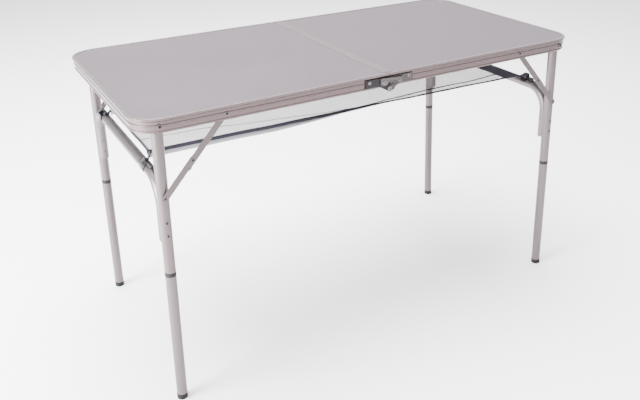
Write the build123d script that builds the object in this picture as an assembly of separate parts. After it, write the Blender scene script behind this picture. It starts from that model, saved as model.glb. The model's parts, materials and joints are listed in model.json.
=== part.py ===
from build123d import *
import math
import os

# A folding camp table: two hinged half tops in a rounded aluminium frame, a leg frame under each
# end, four folding knee braces, four plug-in leg extensions and a storage net under the top.
# X runs along the length, Y from front to back, Z up. The origin is on the floor, under the middle.

# ---- driving dimensions, mm ----
TABLE_LENGTH = 1200.0
TABLE_WIDTH = 604.0
TABLE_HEIGHT = 718.0
CORNER_RADIUS = 65.0
SEAM_GAP = 1.0

RAIL_HEIGHT = 31.4
RAIL_FACE = 3.5            # how far the lip overhangs the rail's flat face
RAIL_BEAD = 2.2            # depth of the ridge and of the bottom bead, from the lip's edge
RAIL_INNER = 5.0           # rail's inner wall, from the lip's edge
PANEL_INSET = 6.0          # panel's edge, from the lip's edge
PANEL_TOP = TABLE_HEIGHT - 0.8
PANEL_THICKNESS = 3.0
TOP_INSET = 9.4            # where the raised top of the panel starts, clear of the lip
REBATE = 0.5               # how much lower the panel's edge is, where the lip and the trim lap over it
TRIM_WIDTH = 10.0
TRIM_WALL = 1.0

LEG_RADIUS = 12.5
TUBE_WALL = 1.2
LEG_PIVOT_X = 549.0
PIVOT_Z = 701.0
LEG_TOP_Y = 275.0
FOOT_X = 580.0
FOOT_Y = 283.0
SOCKET_TOP = 347.0         # distance down the leg from its pivot
SOCKET_HEIGHT = 10.0
SOCKET_RADIUS = 12.8
SOCKET_BORE = 10.7
SLEEVE_LENGTH = 20.0
SPIGOT_RADIUS = 10.62
SPIGOT_TOP = 303.0
SPIGOT_END = 400.0
FOOT_RADIUS = 13.0
FOOT_TOP = 688.0
SLIP = 0.02                # radial gap of a plug that is pressed or glued in

BAR_RADIUS = 12.5          # crossbar tube
BAR_TOP = 135.0            # crossbar's straight run, down the leg from its pivot
BAR_END = 274.0
BAR_Y = 262.5              # the bar's ends are pressed to a saddle that hugs the leg
BAR_BEND = 60.0
BAR_RIVETS = (222.0, 253.2)

BRACE_PIVOT_X = 406.0
BRACE_LEG_DROP = 163.0     # brace's rivet on the leg, down from the leg's pivot
STRIP_WIDTH = 14.0
STRIP_OVERLAP = 28.0       # upper strip past the knee
LOWER_STRIP = (291.9, 293.1)   # inner and outer face, from the middle of the table
UPPER_STRIP = (294.2, 295.4)
BUSH_FACE = 291.0
FIT = 0.05                 # radial clearance of a rivet in the part that turns on it
STEM_SHARE = 0.44          # a blind rivet's hollow, as a share of its head's radius
STEM_FLOOR = 0.3           # and how far above the head's seat its floor is

HINGE_Z = 682.0
PLATE_LAYER = (TABLE_WIDTH / 2 - RAIL_BEAD, TABLE_WIDTH / 2 - RAIL_BEAD + 1.6)   # flat on the bead
EAR_LAYER = (PLATE_LAYER[1] + 0.2, PLATE_LAYER[1] + 1.8)
HOOK_LAYER = (TABLE_WIDTH / 2 + 0.4, TABLE_WIDTH / 2 + 2.0)
HINGE_EAR = 7.5
PLATE_RIVET = (55.0, 703.5)
HOOK_PIVOT = (-15.0, 698.0)
STUD = (28.0, 697.0)

NET_LENGTH = 1080.0
NET_WIDTH = 320.0
NET_Z = (580.5, 583.0)
NET_HOOK_Y = 183.0
NET_HOOK_WIDTH = 16.0
HOOK_BLADE = (163.0, 213.0)
HOOK_TURN = {"left": 30.0, "right": 0.0}   # how far each side's clips are turned outwards on the bar

# ---- worked out from them ----
HALF_L = TABLE_LENGTH / 2
HALF_W = TABLE_WIDTH / 2
RAIL_WALL = (HALF_W - RAIL_INNER, HALF_W - RAIL_FACE)
RIDGE_FACE = HALF_W - RAIL_BEAD
TILT = math.degrees(math.atan((FOOT_X - LEG_PIVOT_X) / PIVOT_Z))
LEG_LENGTH = math.hypot(PIVOT_Z, FOOT_X - LEG_PIVOT_X)
SPLAY = (FOOT_Y - LEG_TOP_Y) / LEG_LENGTH
TUBE_BORE = LEG_RADIUS - TUBE_WALL


# ---- helpers: every front piece is drawn at -Y, and its rear twin is its mirror image ----
def rear(shape):
    return mirror(shape, about=Plane.XZ)


def right(shape):
    return mirror(shape, about=Plane.YZ)


def rod(x, z, radius, layer):
    """A round rod along Y, between two distances from the middle of the table."""
    near, far = layer
    return Pos(x, -(near + far) / 2, z) * Rot(90, 0, 0) * Cylinder(radius, far - near)


def plate(outline, layer):
    """A flat plate: an XZ face, or closed list of XZ points, as thick as its layer."""
    near, far = layer
    face = outline if isinstance(outline, (Face, Sketch)) else make_face(Polyline(*outline, close=True))
    plane = Plane(origin=(0, -near, 0), x_dir=(1, 0, 0), z_dir=(0, -1, 0))
    return extrude(plane * face, far - near)


def disc(x, z, radius):
    return Pos(x, z) * Circle(radius)


def domed_head(x, z, radius, height, layer_face, outward=True):
    """A low rivet head that stands on a face and is rounded at its free edge."""
    layer = (layer_face, layer_face + height) if outward else (layer_face - height, layer_face)
    head = rod(x, z, radius, layer)
    free = layer[1] if outward else layer[0]
    rim = head.edges().filter_by(GeomType.CIRCLE).sort_by(lambda e: abs(e.center().Y + free))[0]
    return fillet(rim, height * 0.6)


def pop_head(x, z, radius, height, layer_face):
    """A blind rivet's head, with the hollow that its pulled stem leaves."""
    hollow = rod(x, z, radius * STEM_SHARE, (layer_face + STEM_FLOOR, layer_face + height + 1))
    return domed_head(x, z, radius, height, layer_face) - hollow


# ---- frame rail ----
def rail_section():
    """Lip, groove, ridge, bottom bead and the slot for the panel's edge; x is the depth from the lip."""
    return FilletPolyline(
        (9.0, 0), (1.6, 0), (0, -1.8), (0, -4.6), (RAIL_FACE, -7.4), (RAIL_FACE, -13.4),
        (RAIL_BEAD, -14.7), (RAIL_BEAD, -16.7), (RAIL_FACE, -18.0), (RAIL_FACE, -26.4),
        (RAIL_BEAD, -27.7), (RAIL_BEAD, -30.2), (3.4, -RAIL_HEIGHT), (RAIL_INNER, -RAIL_HEIGHT),
        (RAIL_INNER, -4.9), (12.0, -4.9), (12.0, -3.9), (5.4, -3.9), (5.4, -0.8), (9.0, -0.8),
        radius=0.3, close=True,
    )


def rounded_half_outline(inset, seam_x):
    """Half of the table's outline, from the seam at the front, round the end, to the seam at the back."""
    end, side, r = -(HALF_L - inset), HALF_W - inset, CORNER_RADIUS - inset
    front = Line((seam_x, -side), (end + r, -side))
    front_arc = RadiusArc((end + r, -side), (end, -side + r), r)
    across = Line((end, -side + r), (end, side - r))
    back_arc = RadiusArc((end, side - r), (end + r, side), r)
    back = Line((end + r, side), (seam_x, side))
    return [front, front_arc, across, back_arc, back]


def frame_rail():
    seam = -SEAM_GAP / 2
    start = Plane(origin=(seam, -HALF_W, TABLE_HEIGHT), x_dir=(0, 1, 0), z_dir=(1, 0, 0))
    rail = sweep(start * make_face(rail_section()), path=Wire(rounded_half_outline(0, seam)))
    for x, z, radius in (
        (-LEG_PIVOT_X, PIVOT_Z, 3.0), (-BRACE_PIVOT_X, PIVOT_Z, 2.0), (-PLATE_RIVET[0], PLATE_RIVET[1], 2.0),
        (HOOK_PIVOT[0], HOOK_PIVOT[1], 2.5),
    ):
        hole = rod(x, z, radius + SLIP, (RAIL_WALL[0] - 3, HALF_W))
        rail -= hole + rear(hole)
    return rail


def half_board(inset, seam_x, bottom, top):
    """Half of the table's outline as a flat board between two heights."""
    side = HALF_W - inset
    lines = rounded_half_outline(inset, seam_x) + [Line((seam_x, side), (seam_x, -side))]
    return extrude(Pos(0, 0, bottom) * make_face(lines), top - bottom)


def panel():
    """The coated board: its rebated edge lies in the rail's slot and under the seam's trim."""
    edge_top = PANEL_TOP - REBATE
    board = half_board(PANEL_INSET, -(SEAM_GAP / 2 + TRIM_WALL), PANEL_TOP - PANEL_THICKNESS, edge_top)
    return board + half_board(TOP_INSET, -(SEAM_GAP / 2 + TRIM_WIDTH + 0.2), edge_top, PANEL_TOP)


def seam_trim():
    """An angle that caps the panel's edge along the seam, between the two long rails."""
    outer, inner = -SEAM_GAP / 2, -(SEAM_GAP / 2 + TRIM_WALL)
    far = outer - TRIM_WIDTH
    bottom = PANEL_TOP - PANEL_THICKNESS
    section = make_face(Polyline(
        (outer, bottom), (outer, TABLE_HEIGHT), (far, TABLE_HEIGHT), (far, PANEL_TOP),
        (inner, PANEL_TOP), (inner, bottom), close=True,
    ))
    length = TABLE_WIDTH - 2 * 12.1
    plane = Plane(origin=(0, length / 2, 0), x_dir=(1, 0, 0), z_dir=(0, -1, 0))
    return extrude(plane * section, length)


# ---- leg frame: drawn upright about the pivot, then tilted and set in place ----
def on_leg(drop):
    """A point on the front leg's axis, this far down from its pivot."""
    return (0, -(LEG_TOP_Y + SPLAY * drop), -drop)


def leg_rod(radius, top, bottom):
    """A round rod on the front leg's axis, between two distances down from the pivot."""
    direction = Vector(0, -SPLAY, -1).normalized()
    return Plane(origin=on_leg(top), z_dir=direction) * Cylinder(
        radius, bottom - top, align=(Align.CENTER, Align.CENTER, Align.MIN)
    )


def leg_pipe(outer, inner, top, bottom):
    return leg_rod(outer, top, bottom) - leg_rod(inner, top - 1, bottom + 1)


def place(shape):
    """From the upright drawing to the left leg frame's place, leaning outwards."""
    return Pos(-LEG_PIVOT_X, 0, PIVOT_Z) * Rot(0, TILT, 0) * shape


def nose(shape):
    """Rounds a leg's top about the pivot, so that it turns under the panel."""
    below = Pos(0, -LEG_TOP_Y, -200) * Box(60, 60, 400)
    return shape & (below + rod(0, 0, LEG_RADIUS, (LEG_TOP_Y - 30, LEG_TOP_Y + 30)))


def across_leg(drop, radius):
    return rod(0, -drop, radius, (BAR_Y - 30, LEG_TOP_Y + 30))


def leg_tube():
    tube = nose(leg_pipe(LEG_RADIUS, TUBE_BORE, -LEG_RADIUS - 1, SOCKET_TOP))
    tube -= rod(0, 0, 3.0 + FIT, (LEG_TOP_Y - 30, LEG_TOP_Y + 30))
    for drop in BAR_RIVETS:
        tube -= across_leg(drop, 2.0 + SLIP)
    tube -= rod(0, -BRACE_LEG_DROP, 4.5 + SLIP, (LEG_TOP_Y, LEG_TOP_Y + 30))
    return tube


def leg_top_plug():
    """The moulded plug in a leg's rounded top; the pivot rivet runs through it."""
    plug = nose(leg_rod(TUBE_BORE - SLIP, -LEG_RADIUS - 1, 14))
    return plug - rod(0, 0, 3.0 + FIT, (LEG_TOP_Y - 30, LEG_TOP_Y + 30))


def leg_socket():
    """The dark collar under the upper tube, with its sleeve inside the tube."""
    collar = leg_rod(SOCKET_RADIUS, SOCKET_TOP, SOCKET_TOP + SOCKET_HEIGHT)
    sleeve = leg_rod(TUBE_BORE - SLIP, SOCKET_TOP - SLEEVE_LENGTH, SOCKET_TOP + 1)
    bore = leg_rod(SOCKET_BORE, SOCKET_TOP - SLEEVE_LENGTH - 1, SOCKET_TOP + SOCKET_HEIGHT + 1)
    return collar + sleeve - bore


def crossbar():
    """One tube with both ends bent down; the ends are pressed to a saddle that hugs the leg."""
    y = BAR_Y
    path = FilletPolyline(
        (0, -y, -BAR_END), (0, -y, -BAR_TOP), (0, y, -BAR_TOP), (0, y, -BAR_END), radius=BAR_BEND
    )
    end = Plane(origin=(0, -y, -BAR_END), z_dir=(0, 0, 1))

    def saddled(radius, clearance):
        leg = leg_rod(LEG_RADIUS + clearance, BAR_TOP, BAR_END + 20)
        return sweep(end * Circle(radius), path=path) - leg - rear(leg)

    tube = saddled(BAR_RADIUS, 0.06) - saddled(BAR_RADIUS - TUBE_WALL, 0.06 + TUBE_WALL)
    for drop in BAR_RIVETS:
        hole = across_leg(drop, 2.0 + SLIP)
        tube -= hole + rear(hole)
    return tube


def crossbar_rivets():
    rivets = []
    for drop in BAR_RIVETS:
        face = LEG_TOP_Y + SPLAY * drop + LEG_RADIUS + 0.06
        inner = BAR_Y - BAR_RADIUS
        rivet = rod(0, -drop, 2.0, (inner - 0.5, face + 0.2))
        rivet += pop_head(0, -drop, 4.0, 0.9, face)
        rivet += domed_head(0, -drop, 3.6, 1.0, inner, outward=False)
        rivets += [rivet, rear(rivet)]
    return Compound(children=[place(r) for r in rivets])


def brace_bushes():
    """The bush in each leg that the knee brace's rivet turns against."""
    bush = rod(0, -BRACE_LEG_DROP, 4.5, (LEG_TOP_Y + 8, BUSH_FACE))
    return Compound(children=[place(bush), place(rear(bush))])


def net_hook(turn):
    """A saddle with a square head, turned outwards on the bar, and a blade that holds the net's strap."""
    half = NET_HOOK_WIDTH / 2
    layer = (NET_HOOK_Y - half, NET_HOOK_Y + half)
    saddle = rod(0, 0, 15.0, layer) & (Pos(0, -NET_HOOK_Y, 12) * Box(26, 40, 16))
    head = Pos(0, -NET_HOOK_Y, 19.5) * Box(13, NET_HOOK_WIDTH, 12)
    head = fillet(head.edges().filter_by(Axis.Z), 2.0)
    near, far = HOOK_BLADE
    blade = Pos(0, -(near + far) / 2, 15.5) * Box(9, far - near, 3)
    blade = fillet(blade.edges().filter_by(Axis.Z), 3.0)
    clip = Rot(0, -turn, 0) * (saddle + head) + blade
    clip -= rod(0, 0, BAR_RADIUS + 0.1, (near - 5, far + 5))
    return Pos(0, 0, -BAR_TOP) * clip


# ---- plug-in leg extension ----
def lower_tube():
    return leg_pipe(LEG_RADIUS, TUBE_BORE, SOCKET_TOP + SOCKET_HEIGHT + 0.2, FOOT_TOP)


def spigot():
    """The inner tube that plugs into the socket; its lower half fills the lower tube's bore."""
    shoulder = SOCKET_TOP + SOCKET_HEIGHT + 2
    tube = leg_rod(SPIGOT_RADIUS, SPIGOT_TOP, SPIGOT_END) + leg_rod(TUBE_BORE - SLIP, shoulder, SPIGOT_END)
    return tube - leg_rod(SPIGOT_RADIUS - TUBE_WALL, SPIGOT_TOP - 1, SPIGOT_END + 1)


def foot():
    """A moulded cap with a plug inside the tube, flat where it stands on the floor."""
    cap = leg_rod(FOOT_RADIUS, FOOT_TOP, LEG_LENGTH + 4)
    rim = cap.edges().filter_by(GeomType.CIRCLE).sort_by(Axis.Z)[0]
    cap = fillet(rim, 6.0)
    cap += leg_rod(TUBE_BORE - SLIP, FOOT_TOP - 18, FOOT_TOP + 1)
    return cap


def on_floor(shape):
    return shape & (Pos(0, 0, 500) * Box(2000, 2000, 1000))


# ---- knee brace, drawn from its rail pivot along its length when straight ----
def brace_line():
    """Direction and length of the straight brace, from the rail's rivet to the leg's rivet."""
    lean = math.radians(TILT)
    leg_x = -LEG_PIVOT_X - BRACE_LEG_DROP * math.sin(lean)
    leg_z = PIVOT_Z - BRACE_LEG_DROP * math.cos(lean)
    dx, dz = leg_x + BRACE_PIVOT_X, leg_z - PIVOT_Z
    return math.degrees(math.atan2(dz, dx)), math.hypot(dx, dz)


BRACE_ANGLE, BRACE_LENGTH = brace_line()
# with the knee here, both strips lie back along the leg when it is folded flat
KNEE_FROM_RAIL = (BRACE_LENGTH + BRACE_LEG_DROP - (LEG_PIVOT_X - BRACE_PIVOT_X)) / 2


def along_brace(face):
    return Pos(-BRACE_PIVOT_X, PIVOT_Z) * Rot(0, 0, BRACE_ANGLE) * face


def brace_point(distance):
    angle = math.radians(BRACE_ANGLE)
    return -BRACE_PIVOT_X + distance * math.cos(angle), PIVOT_Z + distance * math.sin(angle)


def strip(start, end, holes, layer, hole_radius):
    """A flat strip with rounded ends and a hole at each rivet."""
    middle, length = (start + end) / 2, end - start
    face = Pos(middle, 0) * SlotOverall(length, STRIP_WIDTH)
    for hole in holes:
        face -= disc(hole, 0, hole_radius)
    return plate(along_brace(face), layer)


def brace_upper():
    half = STRIP_WIDTH / 2
    end = KNEE_FROM_RAIL + STRIP_OVERLAP
    body = strip(-half, end, (0, KNEE_FROM_RAIL), UPPER_STRIP, 2.0 + FIT)
    tab = Pos(end - 10, half + 0.7) * Rectangle(7, 1.2)
    bridge = Pos(end - 10, half - 0.6) * Rectangle(7, 3.8)
    return body + plate(along_brace(tab), (LOWER_STRIP[0], UPPER_STRIP[1])) + plate(along_brace(bridge), UPPER_STRIP)


def brace_lower():
    half = STRIP_WIDTH / 2
    return strip(
        KNEE_FROM_RAIL - half - 2, BRACE_LENGTH + half, (KNEE_FROM_RAIL, BRACE_LENGTH), LOWER_STRIP, 2.0 + SLIP
    )


def brace_rivets():
    """The knee rivet and the leg rivet, both held by the lower strip."""
    x, z = brace_point(KNEE_FROM_RAIL)
    knee = rod(x, z, 2.0, (LOWER_STRIP[0] - 0.4, UPPER_STRIP[1] + 0.2))
    knee += rod(x, z, 4.0, (LOWER_STRIP[1], UPPER_STRIP[0] - FIT))
    knee += domed_head(x, z, 4.0, 0.6, LOWER_STRIP[0], outward=False)
    knee += pop_head(x, z, 4.0, 0.9, UPPER_STRIP[1] + FIT)
    x, z = brace_point(BRACE_LENGTH)
    leg = rod(x, z, 2.0, (BUSH_FACE + 0.2, LOWER_STRIP[1] + 0.2))
    leg += pop_head(x, z, 4.0, 0.9, LOWER_STRIP[1])
    return [knee, leg]


# ---- rivets in the rails ----
def in_corner(inset):
    """The round space inside the front left corner, as far out as a depth from the lip's edge."""
    centre = Pos(-HALF_L + CORNER_RADIUS, -HALF_W + CORNER_RADIUS, PIVOT_Z)
    return centre * Cylinder(CORNER_RADIUS - inset, 60)


def leg_pivot_rivet():
    """A shouldered rivet through the rail and the leg; it sits where the rail starts to turn its corner."""
    x, z = -LEG_PIVOT_X, PIVOT_Z
    leg_face, leg_inner = LEG_TOP_Y + LEG_RADIUS, LEG_TOP_Y - LEG_RADIUS
    head_seat = RIDGE_FACE - 0.4
    rivet = rod(x, z, 3.0, (leg_inner - 0.6, head_seat + 0.2))
    rivet += rod(x, z, 5.0, (leg_face + 0.2, RAIL_WALL[0])) & in_corner(RAIL_INNER + SLIP)
    rivet += rod(x, z, 4.8, (head_seat - 4, head_seat)) - in_corner(RAIL_BEAD - SLIP)
    rivet += pop_head(x, z, 4.8, 1.5, head_seat)
    return rivet + domed_head(x, z, 4.8, 1.4, leg_inner - 0.2, outward=False)


def brace_pivot_rivet():
    x, z = -BRACE_PIVOT_X, PIVOT_Z
    rivet = rod(x, z, 2.0, (UPPER_STRIP[0] - 0.4, RIDGE_FACE + 0.2))
    rivet += rod(x, z, 4.5, (UPPER_STRIP[1] + FIT, RAIL_WALL[0]))
    rivet += pop_head(x, z, 4.2, 1.4, RIDGE_FACE)
    rivet += domed_head(x, z, 3.8, 0.7, UPPER_STRIP[0] - FIT, outward=False)
    return rivet


# ---- centre hinge and its latch hook ----
def hinge_half_outline():
    return make_face(Polyline(
        (-66, 710.2), (-66, 690.8), (-31, 690.8), (-23, 687), (-5, HINGE_Z - 5.6), (0, HINGE_Z),
        (-SEAM_GAP, HINGE_Z + 8), (-SEAM_GAP, 710.2), close=True,
    ))


def hinge_plate_left():
    face = hinge_half_outline() + disc(0, HINGE_Z, HINGE_EAR)
    face -= disc(0, HINGE_Z, 2.5 + SLIP)
    face -= disc(-PLATE_RIVET[0], PLATE_RIVET[1], 2.0 + SLIP)
    face -= disc(HOOK_PIVOT[0], HOOK_PIVOT[1], 2.5 + SLIP)
    return plate(face, PLATE_LAYER)


def hinge_plate_right():
    """Its ear steps outwards, so that it turns in front of the left plate's ear."""
    face = mirror(hinge_half_outline(), about=Plane.YZ) - disc(0, HINGE_Z, HINGE_EAR + 1.2)
    face -= disc(PLATE_RIVET[0], PLATE_RIVET[1], 2.0 + SLIP)
    face -= disc(STUD[0], STUD[1], 2.5 + SLIP)
    web = make_face(Polyline(
        (0, HINGE_Z - HINGE_EAR), (14, HINGE_Z - 2.6), (14, HINGE_Z + 10), (0, HINGE_Z + HINGE_EAR), close=True
    ))
    ear = web + disc(0, HINGE_Z, HINGE_EAR) - disc(0, HINGE_Z, 2.5 + FIT)
    step = Pos(12, HINGE_Z + 4) * Rectangle(4, 12)
    return plate(face, PLATE_LAYER) + plate(ear, EAR_LAYER) + plate(step, (PLATE_LAYER[0], EAR_LAYER[1]))


def hinge_pin():
    pin = rod(0, HINGE_Z, 2.5, (PLATE_LAYER[0] - 0.5, EAR_LAYER[1] + 0.2))
    pin += domed_head(0, HINGE_Z, 4.2, 1.0, PLATE_LAYER[0], outward=False)
    return pin + pop_head(0, HINGE_Z, 4.5, 1.2, EAR_LAYER[1] + FIT)


def plate_rivet(x):
    rivet = rod(x, PLATE_RIVET[1], 2.0, (RAIL_WALL[0] - 0.4, PLATE_LAYER[1] + 0.2))
    rivet += pop_head(x, PLATE_RIVET[1], 4.0, 1.2, PLATE_LAYER[1])
    return rivet + domed_head(x, PLATE_RIVET[1], 3.4, 0.8, RAIL_WALL[0], outward=False)


def hook_pivot_rivet():
    x, z = HOOK_PIVOT
    rivet = rod(x, z, 2.5, (RAIL_WALL[0] - 0.4, HOOK_LAYER[1] + 0.2))
    rivet += rod(x, z, 4.2, (PLATE_LAYER[1], HOOK_LAYER[0] - FIT))
    rivet += pop_head(x, z, 4.4, 1.2, HOOK_LAYER[1] + FIT)
    return rivet + domed_head(x, z, 3.6, 0.8, RAIL_WALL[0], outward=False)


def latch_hook():
    """A lever that drops over the stud and holds the two halves in line; its top edge is folded out."""
    left_top, right_top = 710.0, 706.0
    outline = make_face(Polyline(
        (-21, 691), (-26, 695), (-26, left_top), (36, right_top), (36, 693.5), (33, 693.5), (33, 699.8),
        (24.5, 699.8), (24.5, 695), (21.5, 695), (17, 700), (1, 700.5), (-5, 696), (-9, 691), close=True,
    ))
    outline -= disc(HOOK_PIVOT[0], HOOK_PIVOT[1], 2.5 + FIT)
    flange = make_face(Polyline(
        (-26, left_top - 1.6), (-26, left_top), (36, right_top), (36, right_top - 1.6), close=True
    ))
    return plate(outline, HOOK_LAYER) + plate(flange, (HOOK_LAYER[0], HOOK_LAYER[1] + 2.0))


def latch_stud():
    x, z = STUD
    stud = rod(x, z, 2.5, (RAIL_WALL[1], HOOK_LAYER[1] + 0.5))
    return stud + pop_head(x, z, 3.4, 0.8, HOOK_LAYER[1] + 0.3)


# ---- storage net ----
def storage_net():
    low, high = NET_Z
    return Pos(0, 0, (low + high) / 2) * Box(NET_LENGTH, NET_WIDTH, high - low)


# ---- write every piece ----
os.makedirs("parts", exist_ok=True)


def write(name, shape):
    export_step(shape, f"parts/{name}.step")


def pair(shape):
    return Compound(children=[shape, rear(shape)])


def write_half(name, shape):
    write(f"{name}_left", shape)
    write(f"{name}_right", right(shape))


def write_corners(name, shape):
    """One piece for each corner of the table, from the front left one."""
    for end, across in (("front", lambda s: s), ("rear", rear)):
        write(f"{name}_left_{end}", across(shape))
        write(f"{name}_right_{end}", right(across(shape)))


write_half("panel", panel())
write_half("frame_rail", frame_rail())
write_half("seam_trim", seam_trim())
write_half("leg_pivot_rivets", pair(leg_pivot_rivet()))
write_half("brace_pivot_rivets", pair(brace_pivot_rivet()))

write("hinge_plates_left", pair(hinge_plate_left()))
write("hinge_plates_right", pair(hinge_plate_right()))
write("hinge_pins", pair(hinge_pin()))
write("hinge_plate_rivets_left", pair(plate_rivet(-PLATE_RIVET[0])))
write("hinge_plate_rivets_right", pair(plate_rivet(PLATE_RIVET[0])))
write("hook_pivot_rivets", pair(hook_pivot_rivet()))
write("latch_studs", pair(latch_stud()))
write("latch_hook_front", latch_hook())
write("latch_hook_rear", rear(latch_hook()))

tube = place(leg_tube())
write_corners("leg_tube", tube)
write_half("crossbar", place(crossbar()))
write_half("crossbar_rivets", crossbar_rivets())
write_half("brace_bushes", brace_bushes())
write_half("leg_top_plugs", pair(place(leg_top_plug())))
write_half("leg_sockets", pair(place(leg_socket())))
write("net_hooks_left", pair(place(net_hook(HOOK_TURN["left"]))))
write("net_hooks_right", right(pair(place(net_hook(HOOK_TURN["right"])))))

write_corners("lower_leg_tube", place(lower_tube()))
write_corners("leg_spigot", place(spigot()))
write_corners("foot", on_floor(place(foot())))

write_corners("brace_upper", brace_upper())
write_corners("brace_lower", brace_lower())
write_corners("brace_rivets", Compound(children=brace_rivets()))

write("storage_net", storage_net())
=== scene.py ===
import json
import math

import bmesh
import bpy
from mathutils import Matrix, Vector

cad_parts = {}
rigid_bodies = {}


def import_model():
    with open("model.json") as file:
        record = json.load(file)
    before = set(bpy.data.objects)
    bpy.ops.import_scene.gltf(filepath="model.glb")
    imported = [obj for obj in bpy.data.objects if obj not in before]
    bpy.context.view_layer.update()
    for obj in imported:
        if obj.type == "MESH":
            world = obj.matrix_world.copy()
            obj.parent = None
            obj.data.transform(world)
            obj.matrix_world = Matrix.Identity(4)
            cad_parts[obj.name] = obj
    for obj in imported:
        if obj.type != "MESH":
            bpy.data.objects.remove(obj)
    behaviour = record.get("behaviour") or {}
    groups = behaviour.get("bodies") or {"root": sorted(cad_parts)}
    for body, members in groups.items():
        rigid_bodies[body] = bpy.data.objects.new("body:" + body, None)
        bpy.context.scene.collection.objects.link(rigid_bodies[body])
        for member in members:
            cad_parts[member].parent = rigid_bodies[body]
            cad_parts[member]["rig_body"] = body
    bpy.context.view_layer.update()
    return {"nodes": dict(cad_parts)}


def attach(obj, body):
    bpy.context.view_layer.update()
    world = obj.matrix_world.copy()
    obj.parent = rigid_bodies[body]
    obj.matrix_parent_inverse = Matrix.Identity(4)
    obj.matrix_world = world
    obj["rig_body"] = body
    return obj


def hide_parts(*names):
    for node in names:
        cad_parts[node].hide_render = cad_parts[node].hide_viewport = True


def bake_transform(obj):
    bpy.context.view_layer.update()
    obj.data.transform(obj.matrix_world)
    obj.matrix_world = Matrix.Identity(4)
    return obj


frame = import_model()
nodes = frame["nodes"]

SIDES = ("left", "right")
ENDS = ("front", "rear")
OUTWARD = {"left": -1, "right": 1, "front": -1, "rear": 1}
HINGE_RIVETS = [
    "hinge_pins", "hook_pivot_rivets", "latch_studs", "hinge_plate_rivets_left", "hinge_plate_rivets_right",
]
FRAME_RIVETS = [
    f"{kind}_rivets_{side}" for kind in ("leg_pivot", "brace_pivot", "crossbar") for side in SIDES
]
FRAME_RIVETS += [f"brace_rivets_{side}_{end}" for side in SIDES for end in ENDS]

# ---- the camera and the floor ----
CAMERA_PLACE = (-0.906, -1.633, 1.224)
CAMERA_TURN = (30.26, 27.47, -0.82)  # degrees: towards the right, down, and of roll
CAMERA_LENS = 40.27
CAMERA_SHIFT = -0.0367
FLOOR_HALF = 12

# ---- the storage net, in metres ----
NET_ENDS = (-0.546, 0.542)       # its left and right edges
NET_HEIGHTS = (0.596, 0.5820)    # how high it is held at those edges
NET_HALF = (0.151, 0.157)        # half its width there
NET_SAG = 0.002
EDGE_SCALLOP = 0.014             # how far the long edges draw in at the middle, as a share
END_GATHER = 0.0006              # the height of the small waves across each end
GATHER_REACH = 0.10              # how far in from an end they run
RIPPLE = 0.0007                  # the height of the slow waves all over
CLOTH_STEP = 0.012               # the size of the sheets' faces along the net
MESH_STEP = 0.08                 # and across it, as a share of half its width
THREAD_PITCH = 0.0030

TAPE_WIDTH = 0.0085              # the dark binding along the long edges
TAPE_THICK = 0.0012
TAPE_BULGE = 0.0012
TAPE_TURN = (62, 2)              # how far it hangs from level, in degrees, on the left and the right
TAPE_TWIST = (-0.28, 0.10)       # where it turns from the one to the other
HEM_WIDTH = (0.009, 0.001)       # the pale hem below it, on the left and where it fades out
HEM_FADE = (-0.25, 0.05)         # where the hem narrows
HEM_THICK = 0.0006

STITCH_HALF = (0.0010, 0.0032)   # half the stitched line's width, on the left and the right
STITCH_WIDEN = (-0.10, 0.20)     # where it grows from the one to the other
STITCH_LIFT = 0.0008
STITCH_PATH = (                  # x, and how far in from the edge the line runs, as a share
    (-0.55, 0.42), (-0.39, 0.40), (-0.30, 0.27), (-0.20, 0.16), (-0.10, 0.05), (-0.02, 0.0),
    (0.05, 0.01), (0.12, 0.07), (0.25, 0.15), (0.38, 0.14), (0.49, 0.22), (0.56, 0.22),
)

END_TAPE = 0.006                 # the thin tape across the left end
END_TAPE_REACH = (1.02, 0.0006)  # how far across it runs, as a share of half the net, and its lift
END_BAND = 0.050                 # the dark band across the right end
END_BAND_REACH = (1.05, 0.0010)
END_STEPS = (0.008, 0.06)        # the size of their faces along and across
STRAP_WIDTH = 0.009
STRAP_THICK = 0.0009
BLADE = (0.5545, 0.5816)         # the middle of a hook's blade: distance from the centre, and height
BLADE_END = 0.1648               # where the loop begins along the blade
LOOP_SIZE = (0.0055, 0.0024)     # half the loop's width and height
SEWN_IN = 0.004                  # how far from the net's end the loop is sewn on
SEWN_SHIFT = (0.006, 0.001, 0.002)  # how far its sewn ends lie across, along and below

SPLIT = 0.43                     # where the end pieces of the net meet the middle one
BEND_LEFT = (-0.546, -0.454)     # spans along the net at its left and right ends, beside the leg folds
BEND_RIGHT = (0.440, 0.560)
BEND_CENTRE = (-0.18, 0.18)      # and a span over the centre hinge

# ---- rivets, in metres ----
STEM_SEGMENTS = 20
STEM_RINGS = ((1.0, 0.00005), (0.9, -0.00006), (0.3, -0.00002))  # share of its radius, depth below the rim
STEM_DISH = 0.00008              # how deep its middle lies
RIM_DEPTH = 0.00004              # points this near the outermost one belong to the rim
STEM_SHADE_SPREAD = {"hinge": 1.15, "frame": 1.45}  # its radius as a share of the rim's, wider than the hole, so the dark disc also paints the shade of the hollow and dome

# ---- colours, as linear light ----
BOARD = (0.074, 0.058, 0.068)
PROFILE = (0.126, 0.093, 0.096)
# a painted highlight along the profile's upper lip
LIP_PAINTED_HIGHLIGHT = (0.27, 0.238, 0.242)
TRIM = (0.20, 0.178, 0.182)
TUBE = (0.138, 0.114, 0.117)
CROSS_TUBE = (0.150, 0.132, 0.134)
STRIP = (0.118, 0.096, 0.100)
HOOK_BODY = (0.008, 0.008, 0.010)
LIP_HEIGHTS = (0.7150, 0.7172)   # between these heights the profile changes to its painted lip highlight
HEAD_START = (0.1765, 0.1775)    # between these distances from the middle a hook changes to its head, whose colour is painted light
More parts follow.
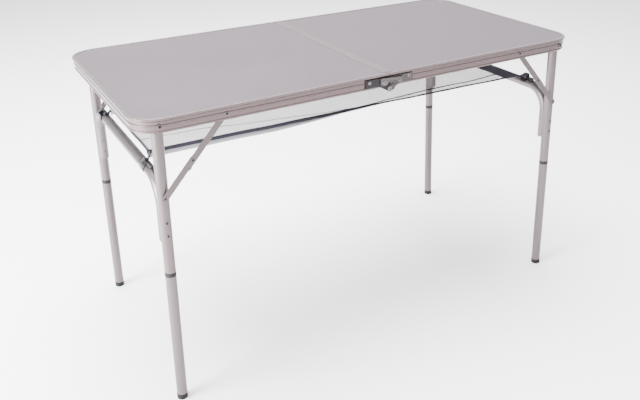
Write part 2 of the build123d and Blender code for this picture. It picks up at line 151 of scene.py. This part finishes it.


# ---- camera and light ----
def add_camera():
    """The standing view of the table from its front left corner."""
    azimuth, down, roll = (math.radians(angle) for angle in CAMERA_TURN)
    ahead = Vector((math.sin(azimuth) * math.cos(down), math.cos(azimuth) * math.cos(down), -math.sin(down)))
    side = ahead.cross(Vector((0, 0, 1))).normalized()
    up = side.cross(ahead)
    right = math.cos(roll) * side + math.sin(roll) * up
    top = -math.sin(roll) * side + math.cos(roll) * up
    data = bpy.data.cameras.new("camera")
    data.sensor_width = 36.0
    data.lens = CAMERA_LENS
    data.shift_x = CAMERA_SHIFT
    camera = bpy.data.objects.new("camera", data)
    turned = Matrix((right, top, -ahead)).transposed().to_4x4()
    camera.matrix_world = Matrix.Translation(CAMERA_PLACE) @ turned
    bpy.context.scene.collection.objects.link(camera)
    bpy.context.scene.camera = camera


def add_area(name, place, target, size, power, colour):
    data = bpy.data.lights.new(name, "AREA")
    data.shape = "DISK"
    data.size = size
    data.energy = power
    data.color = colour
    light = bpy.data.objects.new(name, data)
    aim = (Vector(target) - Vector(place)).to_track_quat("-Z", "Y")
    light.matrix_world = Matrix.Translation(Vector(place)) @ aim.to_matrix().to_4x4()
    bpy.context.scene.collection.objects.link(light)


def add_studio():
    world = bpy.data.worlds.new("studio")
    world.use_nodes = True
    world.node_tree.nodes["Background"].inputs["Color"].default_value = (1.0, 0.99, 0.99, 1)
    world.node_tree.nodes["Background"].inputs["Strength"].default_value = 1.35
    bpy.context.scene.world = world
    add_area("overhead", (-0.3, 0.6, 3.6), (0, 0, 0), 3.6, 740, (1.0, 0.985, 1.0))
    add_area("key", (-3.6, -0.3, 1.3), (0, 0, 0.5), 2.2, 720, (1.0, 1.0, 1.0))


def add_floor():
    mesh = bpy.data.meshes.new("floor")
    corner_signs = ((-1, -1), (1, -1), (1, 1), (-1, 1))
    mesh.from_pydata([(x * FLOOR_HALF, y * FLOOR_HALF, 0) for x, y in corner_signs], [], [(0, 1, 2, 3)])
    floor = bpy.data.objects.new("floor", mesh)
    bpy.context.scene.collection.objects.link(floor)
    mesh.materials.append(new_material("floor", (0.95, 0.95, 0.95), roughness=0.8, specular=0.1)[0])


# ---- materials ----
def new_material(name, colour, roughness=0.5, metallic=0.0, specular=0.5, sheen=0.0):
    material = bpy.data.materials.new(name)
    material.use_nodes = True
    tree = material.node_tree
    shader = tree.nodes["Principled BSDF"]
    shader.inputs["Base Color"].default_value = (*colour, 1)
    shader.inputs["Roughness"].default_value = roughness
    shader.inputs["Metallic"].default_value = metallic
    shader.inputs["Specular IOR Level"].default_value = specular
    shader.inputs["Sheen Weight"].default_value = sheen
    return material, shader, tree


def stretched(tree, scale, space="Object"):
    """Places in metres, on the object or along and across a cloth (UV), times a scale for each axis."""
    where = tree.nodes.new("ShaderNodeTexCoord")
    mapping = tree.nodes.new("ShaderNodeMapping")
    mapping.inputs["Scale"].default_value = scale
    tree.links.new(where.outputs[space], mapping.inputs["Vector"])
    return mapping.outputs["Vector"]


def noise(tree, stretch, scale, detail=4.0, roughness=0.55):
    made = tree.nodes.new("ShaderNodeTexNoise")
    made.inputs["Scale"].default_value = scale
    made.inputs["Detail"].default_value = detail
    made.inputs["Roughness"].default_value = roughness
    tree.links.new(stretched(tree, stretch), made.inputs["Vector"])
    return made.outputs["Fac"]


def ribs(tree, axis, pitch, wobble=0.0):
    """A wave of ribs across an axis, from 0 to 1, with one rib to each pitch in metres."""
    made = tree.nodes.new("ShaderNodeTexWave")
    made.bands_direction = axis
    made.inputs["Scale"].default_value = math.pi / (10 * pitch)
    made.inputs["Distortion"].default_value = wobble
    tree.links.new(stretched(tree, (1, 1, 1), "UV"), made.inputs["Vector"])
    return made.outputs["Fac"]


def combine(tree, operation, first, second):
    made = tree.nodes.new("ShaderNodeMath")
    made.operation = operation
    tree.links.new(first, made.inputs[0])
    tree.links.new(second, made.inputs[1])
    return made.outputs[0]


def remap(tree, value, low, high, start=0.3, end=0.7):
    made = tree.nodes.new("ShaderNodeMapRange")
    for key, number in (("From Min", start), ("From Max", end), ("To Min", low), ("To Max", high)):
        made.inputs[key].default_value = number
    tree.links.new(value, made.inputs["Value"])
    return made.outputs["Result"]


def ramp(tree, factor, first, second, start=0.3, end=0.7):
    made = tree.nodes.new("ShaderNodeValToRGB")
    low, high = made.color_ramp.elements
    low.position, high.position = start, end
    low.color, high.color = (*first, 1), (*second, 1)
    tree.links.new(factor, made.inputs["Fac"])
    return made.outputs["Color"]


def add_bump(tree, shader, height, strength, distance):
    made = tree.nodes.new("ShaderNodeBump")
    made.inputs["Strength"].default_value = strength
    made.inputs["Distance"].default_value = distance
    tree.links.new(height, made.inputs["Height"])
    tree.links.new(made.outputs["Normal"], shader.inputs["Normal"])


def textured(name, colour, pattern, dark=0.9, rough=(0.35, 0.5), bump=(0.1, 0.0003), **settings):
    """A shader whose colour, gloss and surface all follow one pattern; pattern makes it in the new tree."""
    material, shader, tree = new_material(name, colour, **settings)
    value = pattern(tree)
    shade = tuple(dark * c for c in colour)
    tree.links.new(ramp(tree, value, shade, colour), shader.inputs["Base Color"])
    tree.links.new(remap(tree, value, *rough), shader.inputs["Roughness"])
    add_bump(tree, shader, value, *bump)
    return material, shader, tree


def board_material():
    """Coated hardboard: light grey with a fine speckle, slow clouding and a faint orange-peel surface."""
    material, shader, tree = textured(
        "coated_board", BOARD, lambda t: noise(t, (1, 1, 1), 700, detail=2),
        dark=0.92, rough=(0.38, 0.46), bump=(0.10, 0.0003),
    )
    clouds = noise(tree, (1, 1, 1), 4, detail=3)
    tree.links.new(remap(tree, clouds, 0.34, 0.46), shader.inputs["Roughness"])
    return material


def lined_metal(name, colour, stretch, metallic=0.75, rough=(0.32, 0.44)):
    """Drawn or rolled metal: fine lines along the work, which also carry its changes of gloss."""
    return textured(
        name, colour, lambda t: noise(t, stretch, 20, detail=5, roughness=0.68),
        dark=0.88, rough=rough, bump=(0.07, 0.0002), metallic=metallic,
    )


def mottled_metal(name, colour, rough):
    """Plated steel: a mottled plating with small dull spots."""
    return textured(
        name, colour, lambda t: noise(t, (1, 1, 1), 240, detail=5), dark=0.7,
        rough=rough, bump=(0.08, 0.0002), metallic=0.85,
    )[0]


def moulded(name, colour, roughness):
    """Moulded plastic with a fine spark-eroded grain."""
    return textured(
        name, colour, lambda t: noise(t, (1, 1, 1), 1400, detail=2), dark=0.8,
        rough=(roughness - 0.06, roughness + 0.08), bump=(0.2, 0.0002), specular=0.06,
    )


def two_tone(made, axis, first, second, change):
    """Change a material's colour along one axis, between two distances from the origin in metres."""
    material, shader, tree = made
    parts = tree.nodes.new("ShaderNodeSeparateXYZ")
    tree.links.new(stretched(tree, (1, 1, 1)), parts.inputs["Vector"])
    distance = tree.nodes.new("ShaderNodeMath")
    distance.operation = "ABSOLUTE"
    tree.links.new(parts.outputs[axis], distance.inputs[0])
    tree.links.new(ramp(tree, distance.outputs[0], first, second, *change), shader.inputs["Base Color"])
    return material


def profile_material():
    """Anodised profile, lighter on the rounded lip with a painted highlight where the light falls on it."""
    made = lined_metal("anodised_profile", PROFILE, (0.5, 0.5, 14), rough=(0.20, 0.30))
    return two_tone(made, "Z", PROFILE, LIP_PAINTED_HIGHLIGHT, LIP_HEIGHTS)


def hook_material_painted_head(name, head):
    """Black moulded plastic whose square head, at the outer end of the blade, has a painted light colour of
    its own, standing in for how the light falls on it.
    """
    return two_tone(moulded(name, HOOK_BODY, 0.38), "Y", HOOK_BODY, head, HEAD_START)


def woven(name, colour, pitch, dark=0.72):
    """Woven tape or cloth: two crossed sets of fine ribs."""
    return textured(
        name, colour, lambda t: combine(t, "MULTIPLY", ribs(t, "X", pitch), ribs(t, "Y", pitch)),
        dark=dark, rough=(0.66, 0.82), bump=(0.35, 0.0003), specular=0.1, sheen=0.03,
    )[0]


def mesh_material():
    """White polyester mesh: crossed threads with open holes between them."""
    material, shader, tree = textured(
        "net_mesh", (0.26, 0.248, 0.262), lambda t: noise(t, (1, 1, 1), 300, detail=2),
        dark=0.93, rough=(0.6, 0.75), bump=(0.1, 0.0002), specular=0.3,
    )
    threads = combine(
        tree, "MAXIMUM", ribs(tree, "X", THREAD_PITCH, 0.2), ribs(tree, "Y", THREAD_PITCH, 0.2),
    )
    tree.links.new(remap(tree, threads, 0.0, 1.0, 0.47, 0.64), shader.inputs["Alpha"])
    return material


def paint(names, material):
    for name in names:
        data = nodes[name].data
        data.materials.clear()
        data.materials.append(material)


def corners(name):
    return [f"{name}_{side}_{end}" for side in SIDES for end in ENDS]


def halves(name):
    return [f"{name}_{side}" for side in SIDES]


def paint_frame():
    paint(halves("panel"), board_material())
    paint(halves("frame_rail"), profile_material())
    paint(halves("seam_trim"), lined_metal("anodised_trim", TRIM, (14, 0.5, 14))[0])
    upright = corners("leg_tube") + corners("lower_leg_tube") + corners("leg_spigot")
    paint(upright, lined_metal("drawn_tube_upright", TUBE, (14, 14, 0.4))[0])
    paint(halves("crossbar"), lined_metal("drawn_tube_cross", CROSS_TUBE, (14, 0.4, 14))[0])
    strips = corners("brace_upper") + corners("brace_lower")
    paint(strips, lined_metal("rolled_strip", STRIP, (6, 30, 6))[0])
    steels = (
        (["hinge_plates_left"], "plated_steel_dark", (0.035, 0.032, 0.035), (0.36, 0.5)),
        (["hinge_plates_right"], "plated_steel_light", (0.085, 0.072, 0.074), (0.36, 0.5)),
        (["latch_hook_front", "latch_hook_rear"], "latch_steel", (0.115, 0.105, 0.108), (0.3, 0.44)),
        (HINGE_RIVETS, "bright_rivet", (0.25, 0.24, 0.245), (0.24, 0.36)),
        # the frame rivets' colour is darkened with painted shade of their domes
        (FRAME_RIVETS + halves("brace_bushes"), "rivet_painted_shade", (0.115, 0.104, 0.106), (0.22, 0.34)),
    )
    for names, material, colour, rough in steels:
        paint(names, mottled_metal(material, colour, rough))
    paint(corners("foot"), moulded("foot_moulding", (0.018, 0.0175, 0.019), 0.5)[0])
    plugs = moulded("socket_moulding", (0.030, 0.029, 0.031), 0.5)[0]
    paint(halves("leg_sockets") + halves("leg_top_plugs"), plugs)
    # lit and shaded copies of one plastic: the left hooks' heads get a painted highlight, the right hooks'
    # heads a darker painted shade
    paint(["net_hooks_left"], hook_material_painted_head("hook_moulding_left_painted_highlight", (0.070, 0.068, 0.070)))
    paint(["net_hooks_right"], hook_material_painted_head("hook_moulding_right_painted_shade", (0.014, 0.014, 0.016)))


# ---- small made pieces ----
def new_piece(name, vertices, faces, material, smooth=True):
    mesh = bpy.data.meshes.new(name)
    mesh.from_pydata([tuple(v) for v in vertices], [], faces)
    mesh.materials.append(material)
    for polygon in mesh.polygons:
        polygon.use_smooth = smooth
    piece = bpy.data.objects.new(name, mesh)
    bpy.context.scene.collection.objects.link(piece)
    return piece


def islands(mesh):
    """The separate solids of a mesh, each as a list of its vertices' places."""
    work = bmesh.new()
    work.from_mesh(mesh)
    bmesh.ops.remove_doubles(work, verts=work.verts, dist=1e-6)
    found, seen = [], set()
    for start in work.verts:
        if start.index in seen:
            continue
        group, queue = [], [start]
        seen.add(start.index)
        while queue:
            vertex = queue.pop()
            group.append(vertex.co.copy())
            for edge in vertex.link_edges:
                other = edge.other_vert(vertex)
                if other.index not in seen:
                    seen.add(other.index)
                    queue.append(other)
        found.append(group)
    work.free()
    return found


def stem_and_shade_plug(vertices, faces, group, spread):
    """The dark broken stem of a blind rivet, a dished disc level with the rim it was pulled through, spread
    wider than the hole so that it also paints the shade of the rivet's hollow and dome.
    """
    outer = max(abs(v.y) for v in group)
    front = 1 if sum(v.y for v in group) > 0 else -1
    rim = [v for v in group if outer - abs(v.y) < RIM_DEPTH]
    centre_x = (min(v.x for v in rim) + max(v.x for v in rim)) / 2
    centre_z = (min(v.z for v in rim) + max(v.z for v in rim)) / 2
    radius = spread * min(math.hypot(v.x - centre_x, v.z - centre_z) for v in rim)
    first, count = len(vertices), STEM_SEGMENTS
    for share, depth in STEM_RINGS:
        for k in range(count):
            turn = 2 * math.pi * k / count
            place = (centre_x + share * radius * math.cos(turn), front * (outer - depth))
            vertices.append((*place, centre_z + share * radius * math.sin(turn)))
    middle = len(vertices)
    vertices.append((centre_x, front * (outer - STEM_DISH), centre_z))
    inner_ring = first + (len(STEM_RINGS) - 1) * count
    for ring in range(first, inner_ring, count):
        for k in range(count):
            a, b = ring + k, ring + (k + 1) % count
            faces.append((a, b, b + count, a + count))
    for k in range(count):
        faces.append((inner_ring + k, inner_ring + (k + 1) % count, middle))


def add_stem_and_shade_discs():
    # dark discs at the rivets: partly their broken stems, partly painted shade of their hollows and domes
    material = mottled_metal("dark_stem_and_painted_shade", (0.018, 0.017, 0.018), (0.5, 0.7))
    for name in HINGE_RIVETS + FRAME_RIVETS:
        spread = STEM_SHADE_SPREAD["hinge" if name in HINGE_RIVETS else "frame"]
        vertices, faces = [], []
        for group in islands(nodes[name].data):
            stem_and_shade_plug(vertices, faces, group, spread)
        piece = new_piece(f"stem_and_shade_{name}", vertices, faces, material)
        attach(piece, nodes[name]["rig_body"])


# ---- the storage net ----
def between(pair, share):
    return pair[0] + (pair[1] - pair[0]) * share


def net_share(x):
    return (x - NET_ENDS[0]) / (NET_ENDS[1] - NET_ENDS[0])


def smooth_step(value, low, high):
    t = min(1.0, max(0.0, (value - low) / (high - low)))
    return t * t * (3 - 2 * t)


def net_point(x, across):
    """A point of the hung net: x along the table, across from -1 at the front edge to 1 at the back."""
    share = net_share(x)
    hang = max(0.0, 4 * share * (1 - share))
    sag = NET_SAG * hang * (1.5 - across * across)
    near_end = sum(math.exp(-((x - end) / GATHER_REACH) ** 2) for end in NET_ENDS)
    gather = END_GATHER * near_end * math.cos(3.0 * math.pi * across)
    ripple = RIPPLE * math.sin(37 * x + 5 * across) * math.sin(2.2 * across + 9 * x) * hang
    half_width = between(NET_HALF, share) * (1 - EDGE_SCALLOP * hang)
    return Vector((x, across * half_width, between(NET_HEIGHTS, share) - sag + gather + ripple))


def edge_turn(x):
    """How far the binding hangs down from level, in radians: steep on the left, nearly flat on the right."""
    return math.radians(between(TAPE_TURN, smooth_step(x, *TAPE_TWIST)))


def edge_out(x, edge):
    turn = edge_turn(x)
    return Vector((0, edge * math.cos(turn), -math.sin(turn)))


def steps(start, end, size):
    count = max(1, round((end - start) / size))
    return [start + (end - start) * i / count for i in range(count + 1)]


def lay_flat(mesh, rows):
    """Give a grid the UV of its own cloth, in metres along and across, so the weave moves with it."""
    along, places = rows[0][0].x, []
    for i, row in enumerate(rows):
        along += (row[0] - rows[i - 1][0]).length if i else 0.0
        across = row[0].y
        for k, point in enumerate(row):
            across += (point - row[k - 1]).length if k else 0.0
            places.append((along, across))
    layer = mesh.uv_layers.new(name="cloth")
    for loop in mesh.loops:
        layer.data[loop.index].uv = places[loop.vertex_index]


def grid_piece(name, rows, material, thick=0.0):
    """A sheet through rows of points, each row as long as the next."""
    vertices = [point for row in rows for point in row]
    width = len(rows[0])
    faces = []
    for i in range(len(rows) - 1):
        for k in range(width - 1):
            a = i * width + k
            faces.append((a, a + width, a + width + 1, a + 1))
    piece = new_piece(name, vertices, faces, material, smooth=not thick)
    lay_flat(piece.data, rows)
    if thick:
        solid = piece.modifiers.new("thickness", "SOLIDIFY")
        solid.thickness = thick
        solid.offset = 0
    return piece


def mesh_cloth(name, start, end, material):
    across_steps = steps(-1, 1, MESH_STEP)
    rows = [[net_point(x, across) for across in across_steps] for x in steps(start, end, CLOTH_STEP)]
    return grid_piece(name, rows, material)


def edge_strip(name, start, end, edge, inner, widths, material, thick):
    """A tape or hem along the front (-1) or back (1) edge, from a distance out from it.

    Its width changes from the first of the two widths to the second where the hem fades.
    """
    rows = []
    for x in steps(start, end, CLOTH_STEP):
        base, out = net_point(x, edge), edge_out(x, edge)
        outer = inner + between(widths, smooth_step(x, *HEM_FADE))
        bulge = Vector((1, 0, 0)).cross(out) * (TAPE_BULGE * edge)
        rows.append([base + out * inner, base + out * (inner + outer) / 2 + bulge, base + out * outer])
    return grid_piece(name, rows, material, thick)


def inner_line(name, start, end, edge, material):
    """The line of stitching that wanders from the edge into the net towards both ends."""
    rows = []
    for x in steps(start, end, CLOTH_STEP):
        k = max(i for i in range(len(STITCH_PATH) - 1) if STITCH_PATH[i][0] <= x)
        (x0, in0), (x1, in1) = STITCH_PATH[k:k + 2]
        inward = between((in0, in1), (x - x0) / (x1 - x0))
        centre = net_point(x, edge * (1 - inward)) + Vector((0, 0, STITCH_LIFT))
        half = Vector((0, between(STITCH_HALF, smooth_step(x, *STITCH_WIDEN)), 0))
        rows.append([centre - half, centre + half])
    return grid_piece(name, rows, material, HEM_THICK)


def end_strip(name, start, end, reach, lift, material):
    """Tape or band across an end of the net, a little wider than the net."""
    raised = Vector((0, 0, lift))
    rows = []
    for x in steps(start, end, END_STEPS[0]):
        rows.append([net_point(x, across) + raised for across in steps(-reach, reach, END_STEPS[1])])
    return grid_piece(name, rows, material, TAPE_THICK)


def corner_strap(name, side, end, material):
    """The webbing loop from a corner of the net round the blade of its hook."""
    out, across = OUTWARD[side], OUTWARD[end]
    corner = net_point(NET_ENDS[SIDES.index(side)] - out * SEWN_IN, across)
    around = (
        (-1.0, 0.6), (-0.62, 1.15), (0.62, 1.15), (1.05, 0.5),
        (1.05, -0.5), (0.62, -1.05), (-0.62, -1.05), (-1.0, -0.5),
    )
    loop = [(corner.x, corner.z)]
    loop += [(out * (BLADE[0] + LOOP_SIZE[0] * a), BLADE[1] + LOOP_SIZE[1] * b) for a, b in around]
    loop.append((corner.x - out * SEWN_SHIFT[1], corner.z - SEWN_SHIFT[2]))
    rows = []
    for i, (x, z) in enumerate(loop):
        sewn_end = i in (0, len(loop) - 1)
        y = BLADE_END - SEWN_SHIFT[0] if sewn_end else BLADE_END
        rows.append([Vector((x, across * y, z)), Vector((x, across * (y + STRAP_WIDTH), z))])
    return grid_piece(name, rows, material, STRAP_THICK)


def add_net():
    cloth_material = mesh_material()
    binding = woven("binding_tape", (0.052, 0.053, 0.068), 0.0011)
    band_cloth = woven("band_cloth", (0.062, 0.052, 0.080), 0.0016)
    hem_cloth = woven("hem_cloth", (0.48, 0.47, 0.50), 0.0014, 0.85)
    end_tape = woven("end_tape", (0.16, 0.157, 0.165), 0.0011)
    stitching = woven("stitching", (0.05, 0.05, 0.062), 0.0011)
    sections = (
        ("left", NET_ENDS[0], -SPLIT, "left_leg_frame", "root", BEND_LEFT),
        ("middle", -SPLIT, SPLIT, "root", "right_half", BEND_CENTRE),
        ("right", SPLIT, NET_ENDS[1], "right_half", "right_leg_frame", BEND_RIGHT),
    )
    for name, start, end, first, second, bend in sections:
        cloth = mesh_cloth(f"net_mesh_{name}", start, end, cloth_material)
        extras = []
        for place in ENDS:
            edge = OUTWARD[place]
            tape = (edge, 0, (TAPE_WIDTH, TAPE_WIDTH), binding, TAPE_THICK)
            extras.append(edge_strip(f"net_binding_{name}_{place}", start, end, *tape))
            if start < HEM_FADE[1]:
                hem = (edge, TAPE_WIDTH, HEM_WIDTH, hem_cloth, HEM_THICK)
                extras.append(edge_strip(f"net_hem_{name}_{place}", start, min(end, HEM_FADE[1]), *hem))
            extras.append(inner_line(f"net_stitching_{name}_{place}", start, end, edge, stitching))
        if name == "left":
            tape_end = start + END_TAPE
            extras.append(end_strip("net_end_tape", start, tape_end, *END_TAPE_REACH, end_tape))
        if name == "right":
            band_start = end - END_BAND
            extras.append(end_strip("net_end_band", band_start, end, *END_BAND_REACH, band_cloth))
        if name != "middle":
            extras += [corner_strap(f"net_strap_{name}_{place}", name, place, binding) for place in ENDS]
        for piece in [cloth] + extras:
            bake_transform(piece)
        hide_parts("storage_net")


add_camera()
add_studio()
add_floor()
paint_frame()
add_stem_and_shade_discs()
add_net()
